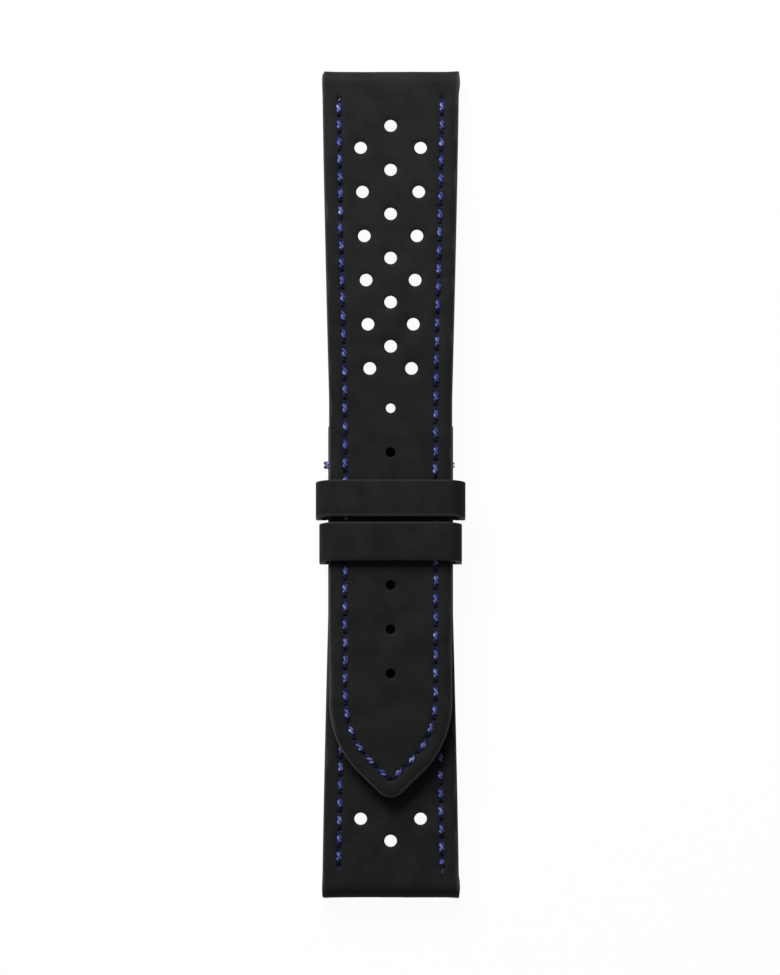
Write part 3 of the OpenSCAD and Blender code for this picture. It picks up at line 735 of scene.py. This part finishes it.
def sew(name, piece, end, stitch, former, crest, dive, thin, hand, seed):
    """Copies a stitch between all the needle holes of both seams, each one a little different.

    The stitches stand crest above the face, dive into the holes and are twisted to the left or the
    right by the sign of hand.
    """
    chance = random.Random(seed)
    master = corners(stitch)
    parts = []
    for side in (-1, 1):
        holes = seam_holes(piece, end, side)
        for k in range(len(holes) - 1):
            (ax, a_s), (bx, b_s) = holes[k], holes[k + 1]
            one = copy_of(stitch, "stitch")
            run = math.hypot(bx - ax, b_s - a_s)
            heading = math.atan2(b_s - a_s, side * (bx - ax)) + math.radians(chance.gauss(0, 1.6))
            stretch = run / STITCH * chance.uniform(0.97, 1.03)
            roll = chance.uniform(0, 2 * math.pi)
            lift = chance.uniform(-0.03, 0.03)
            off = chance.gauss(0, 0.035)
            half = STITCH / 2
            u = master[:, 0]
            e = (master[:, 1] * math.cos(roll) - master[:, 2] * math.sin(roll)) * thin * hand
            h = (master[:, 2] * math.cos(roll) + master[:, 1] * math.sin(roll)) * thin * 0.78
            t = np.clip(np.abs(u) / half, 0, 1.1)
            e = e * (1.06 - 0.10 * t ** 3) + off
            low = u * piece["sign"] < 0
            down = np.where(low, 0.85 * t ** 1.9, 0.75 * t ** 2.4)
            h = h * (1 - 0.25 * t ** 3) + crest + lift - dive * down
            u = u * stretch * (1 - 0.06 * t ** 4)
            x = side * (ax + bx) / 2 + u * math.cos(heading) - e * math.sin(heading)
            p = (a_s + b_s) / 2 + u * math.sin(heading) + e * math.cos(heading)
            s, z, ns, nz, thick = former(p, piece)
            set_corners(one, np.stack([
                x, piece["sign"] * (s + ns * h - TOTAL_LEN / 2), z + nz * h], 1) / 1000)
            # Painted shade: each stitch darkens towards its needle holes, from nearer its middle on its -Y
            # side, which faces away from the lamp.
            mark(one, "sunk", np.clip((t - np.where(low, 0.21, 0.33)) / 0.17, 0, 1) * 0.96)
            parts.append(one)
    sewn = gather(parts, name)
    face_outwards(sewn)
    smooth(sewn, 95)
    return sewn


def lay_thread(thread, path, thin=1.0):
    """Lays a straight thread along a list of points in millimetres."""
    path = [Vector(point) for point in path]
    lengths = [0.0]
    for a, b in zip(path, path[1:]):
        lengths.append(lengths[-1] + (b - a).length)
    co = corners(thread)
    low, high = co[:, 0].min(), co[:, 0].max()
    placed = []
    for u, e, h in co:
        at = (u - low) / (high - low) * lengths[-1]
        k = max(0, min(len(path) - 2, int(np.searchsorted(lengths, at)) - 1))
        share = (at - lengths[k]) / (lengths[k + 1] - lengths[k])
        before = (path[k + 1] - path[max(0, k - 1)]).normalized()
        after = (path[min(len(path) - 1, k + 2)] - path[k]).normalized()
        along = before.lerp(after, share).normalized()
        side = along.cross(Vector((0.013, 1, 0.021))).normalized()
        up = side.cross(along)
        placed.append(path[k].lerp(path[k + 1], share) + side * (e * thin) + up * (h * thin))
    set_corners(thread, np.array([list(point) for point in placed]) / 1000)
    return thread


def tail(piece, side, s, reach, spread, height, pale):
    """A cut thread end that stands a little out of the last needle hole."""
    x = side * (float(half_width(s, piece)) - SEAM_INSET)
    z = float(top_height(s, piece))
    path = []
    for i in range(9):
        t = i / 8
        path.append((x + spread * t ** 1.5, piece["sign"] * (s + reach * t - TOTAL_LEN / 2),
                     z - 0.3 + height * math.sin(t * math.pi * 0.62)))
    end = twisted_thread(3, 4, 16, 0.045, 0.042, 5)
    reach = corners(end)[:, 0] / 3 + 0.5
    mark(end, "frayed", np.clip((reach - pale) * 4, 0, 1))
    # Painted shade: the whole thread end is darkened part way.
    mark(end, "sunk", np.full(len(reach), 0.6))
    return lay_thread(end, path)


def make_tack():
    """Turns of thread that wrap both edges of the short piece next to the fixed keeper."""
    narrow = SHORT["narrow"] / 2
    parts = []
    for side in (-1, 1):
        for k in (-0.5, 0.5):
            y = TACK_S + k * (0.62 if side < 0 else 0.5) - TOTAL_LEN / 2
            high, low, bend = SHORT["top"] - 0.06, SHORT["base"] - 0.22, 0.5
            centre = narrow + (0.42 if side < 0 else 0.08) - bend
            path = [(side * (narrow - 1.95), y, high - 0.4), (side * (narrow - 1.75), y, high - 0.1),
                    (side * (narrow - 1.4), y, high), (side * centre, y, high)]
            for z, from_turn in ((high - bend, 1), (low + bend, 0)):
                for i in range(1, 7):
                    a = math.pi / 2 * (from_turn - i / 6)
                    path.append((side * (centre + bend * math.cos(a)), y, z + bend * math.sin(a)))
            path += [(side * (narrow - 1.4), y, low), (side * (narrow - 1.75), y, low + 0.1)]
            turn = lay_thread(twisted_thread(6, 5, 60, 0.18, 0.14), path, 1.0 if side < 0 else 0.6)
            mark(turn, "frayed", np.full(len(turn.data.vertices), 0.0 if side < 0 else 0.45))
            parts.append(turn)
    tack = gather(parts, "tack_thread")
    face_outwards(tack)
    smooth(tack, 60)
    return tack


# Keepers

KEEPER_TOP_R, KEEPER_LOW_R, JOINT_HALF = 2.4, 1.9, 0.12
LENGTH_PARTS, WIDTH_PARTS = 12, 16


def make_loop(name, keeper, gone, thick, joint):
    """A bent strip of rubber, gone inside the keeper's outer face: a box with rounded corners, open at
    both ends, with a butt joint below."""
    width, low, high = keeper["width"] - 2 * gone, keeper["low"] + gone, KEEPER_TOP - gone
    length = keeper["end"] - keeper["start"]
    middle = (keeper["start"] + keeper["end"]) / 2 - TOTAL_LEN / 2
    put_down()
    bpy.ops.mesh.primitive_cube_add(
        size=1, location=(0, middle, (low + high) / 2), scale=(width, length, high - low))
    loop = bpy.context.active_object
    bpy.ops.object.transform_apply(location=True, rotation=True, scale=True)
    open_up(loop, "FACE")
    pick(loop, "FACE", lambda face: abs(face.normal.y) > 0.9)
    bpy.ops.mesh.delete(type="ONLY_FACE")
    for place, radius in ((high, KEEPER_TOP_R - gone), (low, KEEPER_LOW_R - gone)):
        pick(loop, "EDGE", lambda edge: abs(edge.verts[0].co.y - edge.verts[1].co.y) > 1
             and all(abs(v.co.z - place) < 0.01 for v in edge.verts))
        bpy.ops.mesh.bevel(offset=radius, segments=9, affect="EDGES")
    if joint:
        for side in (-JOINT_HALF, JOINT_HALF):
            pick(loop, "FACE", lambda face: face.normal.z < -0.9)
            bpy.ops.mesh.bisect(plane_co=(side, 0, 0), plane_no=(1, 0, 0))
        pick(loop, "FACE", lambda face: face.normal.z < -0.9 and abs(face.calc_center_median().x) < 0.1)
        bpy.ops.mesh.delete(type="FACE")
    for cut in range(1, LENGTH_PARTS):
        y = middle + length * (cut / LENGTH_PARTS - 0.5)
        bpy.ops.mesh.select_all(action="SELECT")
        bpy.ops.mesh.bisect(plane_co=(0, y, 0), plane_no=(0, 1, 0))
    for cut in range(1, WIDTH_PARTS):
        x = width * (cut / WIDTH_PARTS - 0.5) * 0.8
        bpy.ops.mesh.select_all(action="SELECT")
        bpy.ops.mesh.bisect(plane_co=(x, 0, 0), plane_no=(1, 0, 0))
    close_up()
    face_outwards(loop)
    use(loop, "SOLIDIFY", thickness=thick, offset=-1, use_even_offset=True)
    open_up(loop, "EDGE")
    pick(loop, "EDGE", lambda edge: len(edge.link_faces) == 2 and min(
        abs(f.normal.y) for f in edge.link_faces) < 0.5 < max(abs(f.normal.y) for f in edge.link_faces))
    bpy.ops.mesh.bevel(offset=0.11, segments=2, affect="EDGES")
    close_up()
    co = corners(loop)
    end = np.abs(co[:, 1] - middle) / (length / 2)
    # Painted highlight: lighter lines along both cut ends stand in for light on their rounding, and a wider
    # one along the fixed keeper's lower (-Y) edge, which faces away from the lamp, stands in for light
    # there.
    painted_highlight_and_wear = np.where((co[:, 1] < middle) & (keeper is FIXED), np.clip((end - 0.94) * 12, 0, 1), 0)
    mark(loop, "edge_wear_and_painted_highlight", np.maximum(np.clip((end - 0.975) * 60, 0, 1) * 0.5, painted_highlight_and_wear * 0.9))
    mark(loop, "cut", np.clip((end - 0.985) * 100, 0, 1))
    across = np.abs(co[:, 0]) / (width / 2)
    co[:, 2] += np.where(co[:, 2] > (low + high) / 2, 0.04 * (1 - across ** 2) - 0.05 * end ** 4, 0)
    corner = np.clip((np.abs(co[:, 0]) - width / 2 + KEEPER_TOP_R) / KEEPER_TOP_R, 0, 1)
    lean = 0.10 * (co[:, 2] - KEEPER_TOP + 0.8)
    co[:, 1] += lean - 0.16 * corner ** 1.5 * (co[:, 2] > (low + high) / 2 - 3)
    set_corners(loop, co / 1000)
    face_outwards(loop)
    smooth(loop)
    loop.name = loop.data.name = name
    return loop


# Finishes

class Finish:
    """A material under work: its nodes, and short ways to add and join them."""

    def __init__(self, name):
        self.made = bpy.data.materials.new(name)
        self.made.use_nodes = True
        self.tree = self.made.node_tree
        self.shader = self.tree.nodes["Principled BSDF"]
        self.place = self.add("ShaderNodeTexCoord").outputs["Object"]

    def add(self, kind, **settings):
        node = self.tree.nodes.new(kind)
        for key, value in settings.items():
            setattr(node, key, value)
        return node

    def feed(self, node, **sockets):
        for key, value in sockets.items():
            socket = node.inputs[key.replace("_", " ")]
            if isinstance(value, bpy.types.NodeSocket):
                self.tree.links.new(value, socket)
            else:
                socket.default_value = value
        return node

    def grain(self, scale, detail=3.0, rough=0.55, place=None):
        return self.feed(self.add("ShaderNodeTexNoise"), Vector=place or self.place, Scale=scale,
                         Detail=detail, Roughness=rough).outputs["Fac"]

    def number(self, name):
        return self.add("ShaderNodeAttribute", attribute_name=name).outputs["Fac"]

    def span(self, value, low, high, to_low, to_high):
        node = self.add("ShaderNodeMapRange")
        self.tree.links.new(value, node.inputs["Value"])
        for key, amount in (("From Min", low), ("From Max", high), ("To Min", to_low), ("To Max", to_high)):
            node.inputs[key].default_value = amount
        return node.outputs["Result"]

    def sum(self, a, b, how="ADD"):
        node = self.add("ShaderNodeMath", operation=how)
        for i, value in enumerate((a, b)):
            if isinstance(value, bpy.types.NodeSocket):
                self.tree.links.new(value, node.inputs[i])
            else:
                node.inputs[i].default_value = value
        return node.outputs[0]

    def blend(self, share, a, b):
        node = self.add("ShaderNodeMix", data_type="RGBA")
        for socket, value in ((node.inputs[0], share), (node.inputs[6], a), (node.inputs[7], b)):
            if isinstance(value, bpy.types.NodeSocket):
                self.tree.links.new(value, socket)
            else:
                socket.default_value = value
        return node.outputs[2]

    def raise_surface(self, height, distance, strength=1.0, below=None):
        node = self.feed(self.add("ShaderNodeBump"), Height=height, Distance=distance, Strength=strength)
        if below is not None:
            self.tree.links.new(below, node.inputs["Normal"])
        return node.outputs["Normal"]


def lighter(colour, times):
    return tuple(times * c for c in colour[:3]) + (1,)


def rubber(name, dark, light, rough, grain_size, depth):
    work = Finish(name)
    mottle = work.grain(260, 4)
    pores = work.grain(grain_size, 5, 0.62)
    fine = work.grain(grain_size * 3.3, 2, 0.5)
    tone = work.blend(work.span(mottle, 0.35, 0.65, 0, 1), dark, light)
    # Painted highlight and wear: marked edges are lightened as if light caught them, and the scuffs are real
    # wear.
    tone = work.blend(work.number("edge_wear_and_painted_highlight"), tone, lighter(light, 7))
    tone = work.blend(work.sum(work.number("cut"), 0.5, "MULTIPLY"), tone, lighter(light, 2.4))
    uneven = work.sum(mottle, work.sum(pores, 0.5, "MULTIPLY"))
    roughness = work.span(uneven, 0.5, 1.0, rough - 0.06, rough + 0.08)
    skin = work.raise_surface(pores, depth)
    skin = work.raise_surface(fine, depth * 0.35, below=skin)
    work.feed(work.shader, Base_Color=tone, Roughness=roughness, Normal=skin)
    work.shader.inputs["Specular IOR Level"].default_value = 0.035
    return work.made


def woven(name, dark, light):
    work = Finish(name)
    threads = [work.feed(work.add("ShaderNodeTexWave", bands_direction=way), Vector=work.place,
                         Scale=420.0).outputs["Fac"] for way in "XY"]
    cloth = work.sum(threads[0], threads[1], "MULTIPLY")
    fuzz = work.grain(9000, 2)
    tone = work.blend(work.sum(cloth, fuzz, "MULTIPLY"), dark, light)
    work.feed(work.shader, Base_Color=tone, Roughness=0.85,
              Normal=work.raise_surface(work.sum(cloth, work.sum(fuzz, 0.3, "MULTIPLY")), 0.00006))
    work.shader.inputs["Specular IOR Level"].default_value = 0.2
    return work.made


def spun(name, deep, blue, pale):
    """Bonded thread: fine fibres along each ply, with painted highlights as pale random patches, and painted
    shade where it is marked sunk.
    """
    work = Finish(name)
    join = work.add("ShaderNodeCombineXYZ")
    for axis, mark_name, share in (("X", "fibre_x", 2.2), ("Y", "fibre_y", 2.2), ("Z", "fibre_z", 0.55)):
        work.tree.links.new(work.sum(work.number(mark_name), share, "MULTIPLY"), join.inputs[axis])
    fibres = work.grain(3.2, 3, 0.6, join.outputs[0])
    painted_highlight_patches = work.grain(700, 2)
    tone = work.blend(work.span(fibres, 0.35, 0.68, 0, 1), deep, blue)
    # Painted highlight: pale patches at random places stand in for light on the thread.
    tone = work.blend(work.span(painted_highlight_patches, 0.5, 0.75, 0, 0.5), tone, pale)
    # Painted shade: where marked sunk, the thread turns dark navy, and below it reflects less.
    tone = work.blend(work.number("sunk"), tone, (0.004, 0.0065, 0.027, 1))
    tone = work.blend(work.number("frayed"), tone, (0.4, 0.4, 0.36, 1))
    work.feed(work.shader, Base_Color=tone, Roughness=work.span(fibres, 0.3, 0.7, 0.3, 0.42),
              Specular_IOR_Level=work.span(work.number("sunk"), 0, 1, 0.45, 0.04),
              Normal=work.raise_surface(fibres, 0.00005))
    return work.made


def felted(name, dark, light):
    work = Finish(name)
    curl = work.grain(2600, 4, 0.7)
    tone = work.blend(work.span(curl, 0.3, 0.7, 0, 1), dark, light)
    work.feed(work.shader, Base_Color=tone, Roughness=work.span(curl, 0.2, 0.8, 0.8, 0.95),
              Normal=work.raise_surface(curl, 0.00008))
    work.shader.inputs["Specular IOR Level"].default_value = 0.2
    return work.made


def put_on(piece, finish):
    piece.data.materials.clear()
    piece.data.materials.append(finish)


def fit(piece, node, body, finish):
    """Puts a piece in its node's place, on its body, with its finish."""
    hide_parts(node)
    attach(piece, body)
    put_on(piece, finish)


BLACK, DEEP_GREY = (0.0085, 0.0085, 0.009, 1), (0.0125, 0.0125, 0.013, 1)

skin_rubber = rubber("skin_rubber_black", BLACK, DEEP_GREY, 0.6, 3300, 0.00003)
keeper_rubber = rubber("keeper_rubber_black", BLACK, DEEP_GREY, 0.58, 3300, 0.00003)
lining_rubber = rubber(
    "lining_rubber_black", (0.012, 0.012, 0.012, 1), (0.018, 0.018, 0.018, 1), 0.7, 1900, 0.00004)
tape_weave = woven("reinforcing_weave", (0.01, 0.01, 0.01, 1), (0.035, 0.035, 0.037, 1))
core_felt = felted("padding_core_felt", (0.02, 0.018, 0.016, 1), (0.05, 0.046, 0.042, 1))
# The last colour is the painted highlight.
royal_thread = spun(
    "royal_blue_thread", (0.006, 0.009, 0.09, 1), (0.052, 0.068, 0.335, 1), (0.42, 0.48, 0.88, 1))

# The strap's pieces

fit(make_long_skin(), "long_top_skin", "long_strap", skin_rubber)
fit(make_long_lining(), "long_lining", "long_strap", lining_rubber)
fit(make_tape(LONG), "long_reinforcement", "long_strap", tape_weave)
fit(make_short_skin(), "short_top_skin", "short_strap", skin_rubber)
fit(make_short_lining(), "short_lining", "short_strap", lining_rubber)
fit(make_tape(SHORT), "short_reinforcement", "short_strap", tape_weave)
for name in ("long_padding", "short_padding"):
    put_on(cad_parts[name], core_felt)

stitch = twisted_thread(STITCH, 1.5, 10, sides=5)
for piece, end, body in ((LONG, LONG_SEAM_END, "long_strap"), (SHORT, SHORT_SEAM_END, "short_strap")):
    top = sew(piece["name"] + "_needle_stitches", piece, end, stitch, skin_former, -0.03, 0.43, 1.0,
              -piece["sign"], 11)
    if piece is LONG:
        ends = [tail(LONG, -1, 4.75, -0.36, 0.15, 0.42, 0.3)]
    else:
        ends = [tail(SHORT, 1, 5.0, -1.0, 0.05, 0.42, 0.6), tail(SHORT, -1, 5.15, -0.9, -0.15, 0.35, 1.1)]
    top = gather([top] + ends, piece["name"] + "_needle_stitches")
    fit(top, piece["name"] + "_needle_thread", body, royal_thread)
    back = sew(piece["name"] + "_bobbin_stitches", piece, end, stitch, back_former, -0.09, 0.5, 0.8,
               piece["sign"], 23)
    fit(back, piece["name"] + "_bobbin_thread", body, royal_thread)
bpy.data.objects.remove(stitch)
fit(make_tack(), "keeper_tack_thread", "short_strap", royal_thread)

for keeper, label, body in (
        (FIXED, "fixed_keeper", "short_strap"), (FLOATING, "floating_keeper", "floating_keeper")):
    fit(make_loop(label + "_loop", keeper, 0, KEEPER_SKIN_T, True),
        label + "_skin", body, keeper_rubber)
    fit(make_loop(label + "_inner_loop", keeper, KEEPER_SKIN_T, KEEPER_LINING_T, False),
        label + "_lining", body, lining_rubber)

# The floor, the light and the camera

put_down()
bpy.ops.mesh.primitive_plane_add(size=4, location=(0, 0, -0.00002))
floor = bpy.context.active_object
floor.name = "white_floor"
sheet_white = Finish("white_floor_paint")
sheet_white.feed(sheet_white.shader, Base_Color=(0.9, 0.9, 0.9, 1), Roughness=0.9)
seen = sheet_white.add("ShaderNodeLightPath")
glow = sheet_white.feed(sheet_white.add("ShaderNodeEmission"), Color=(1, 1, 1, 1), Strength=1.0)
blend_in = sheet_white.add("ShaderNodeMixShader")
share = sheet_white.sum(sheet_white.sum(sheet_white.sum(
    seen.outputs["Is Camera Ray"], seen.outputs["Is Glossy Ray"], "MAXIMUM"),
    seen.outputs["Is Transmission Ray"], "MAXIMUM"), 0.96, "MULTIPLY")
sheet_white.tree.links.new(share, blend_in.inputs[0])
sheet_white.tree.links.new(sheet_white.shader.outputs[0], blend_in.inputs[1])
sheet_white.tree.links.new(glow.outputs[0], blend_in.inputs[2])
sheet_white.tree.links.new(blend_in.outputs[0], sheet_white.tree.nodes["Material Output"].inputs["Surface"])
put_on(floor, sheet_white.made)

world = bpy.data.worlds.new("pale_room")
bpy.context.scene.world = world
world.use_nodes = True
air = world.node_tree
fill = air.nodes["Background"]
fill.inputs["Color"].default_value = (1, 1, 1, 1)
fill.inputs["Strength"].default_value = 0.135
white = air.nodes.new("ShaderNodeBackground")
white.inputs["Color"].default_value = (1, 1, 1, 1)
white.inputs["Strength"].default_value = 1.0
looking = air.nodes.new("ShaderNodeLightPath")
choose = air.nodes.new("ShaderNodeMixShader")
either = None
for kind in ("Is Camera Ray", "Is Glossy Ray", "Is Transmission Ray"):
    if either is None:
        either = looking.outputs[kind]
    else:
        wider = air.nodes.new("ShaderNodeMath")
        wider.operation = "MAXIMUM"
        air.links.new(either, wider.inputs[0])
        air.links.new(looking.outputs[kind], wider.inputs[1])
        either = wider.outputs[0]
air.links.new(either, choose.inputs[0])
air.links.new(fill.outputs[0], choose.inputs[1])
air.links.new(white.outputs[0], choose.inputs[2])
air.links.new(choose.outputs[0], air.nodes["World Output"].inputs["Surface"])


LAMP_PLACE = (-0.17, 0.44, 0.38)

put_down()
bpy.ops.object.light_add(type="AREA", location=LAMP_PLACE)
lamp = bpy.context.active_object
lamp.name = "window_light"
lamp.data.shape = "SQUARE"
lamp.data.size = 0.34
lamp.data.energy = 6.6
lamp.rotation_euler = (-Vector(LAMP_PLACE)).to_track_quat("-Z", "Y").to_euler()

SENSOR = 36                  # mm
CAMERA_GAP, VIEW_HEIGHT = 1.4985, 0.15476    # metres to the strap, and what the picture's height spans there

put_down()
bpy.ops.object.camera_add(location=(-0.0001, -0.00045, 1.5), rotation=(0, 0, 0))
camera = bpy.context.active_object
camera.data.sensor_width = SENSOR
camera.data.lens = SENSOR * CAMERA_GAP / VIEW_HEIGHT
camera.data.clip_end = 10
bpy.context.scene.camera = camera
bpy.context.scene.view_settings.view_transform = "Standard"
